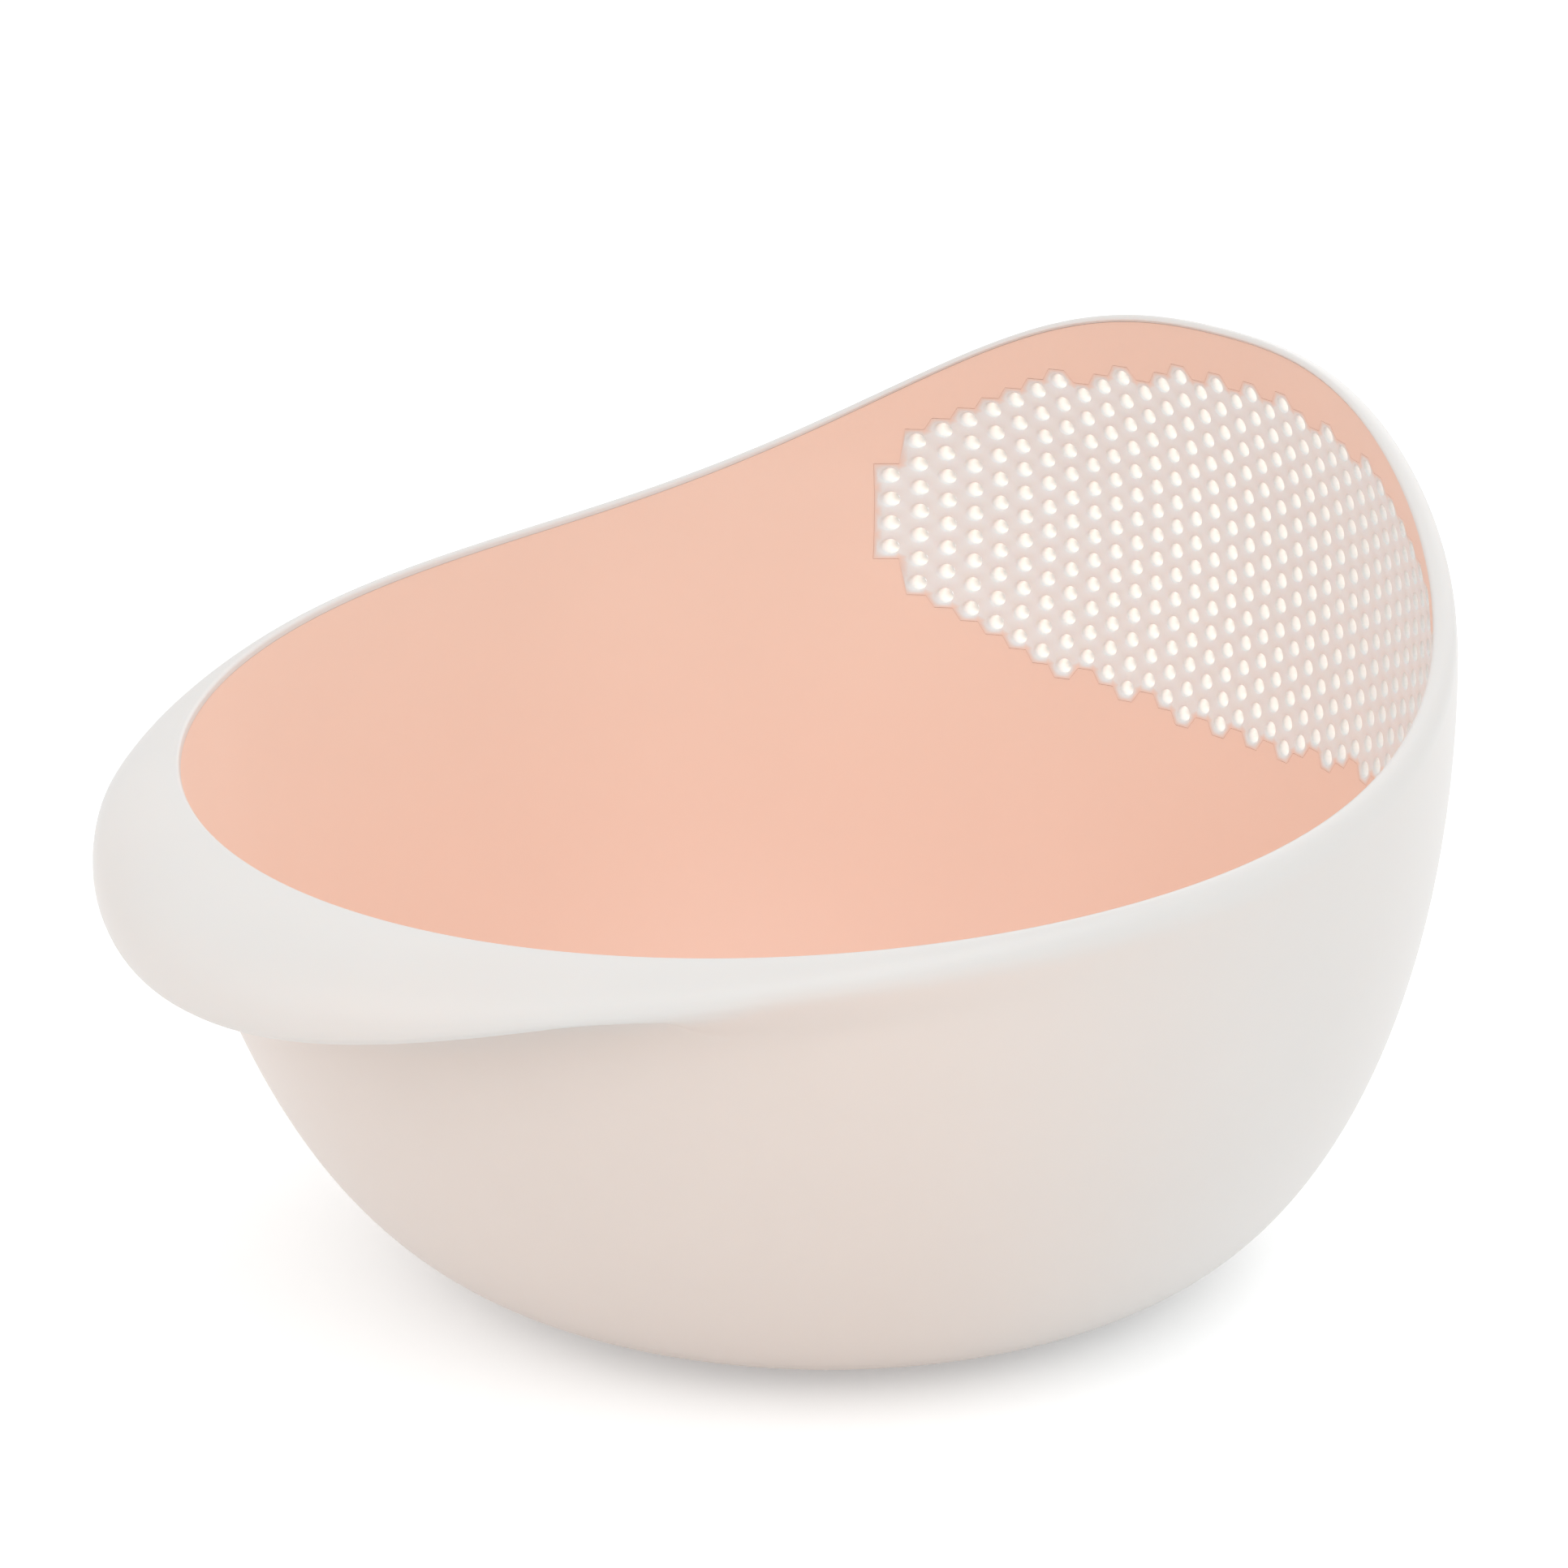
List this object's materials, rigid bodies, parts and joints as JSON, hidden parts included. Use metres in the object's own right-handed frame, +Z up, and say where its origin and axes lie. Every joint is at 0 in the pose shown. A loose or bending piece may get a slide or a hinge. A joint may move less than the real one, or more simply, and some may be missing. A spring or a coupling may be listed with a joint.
{
  "type": "rice washing basket",
  "caption": "Two-colour plastic basket for washing rice: white shell with a flared lip handle and a perforated drain wall, and a pink inner liner with a foot ring.",
  "frame": {"origin": "centre of the foot ring, in the plane that stands on the table", "axes": "+Z up; the lip handle points along -Y and the perforated drain wall stands at +Y; the basket is its own mirror image across the plane X = 0"},
  "size_m": [0.204, 0.2191, 0.1374],
  "materials": {
    "shell_white": "satin white polypropylene, slightly translucent, smooth moulded surface",
    "liner_pink": "satin pale pink polypropylene, smooth moulded surface"
  },
  "bodies": {
    "root": {"outer_shell": "shell_white", "inner_liner": "liner_pink"}
  },
  "joints": []
}
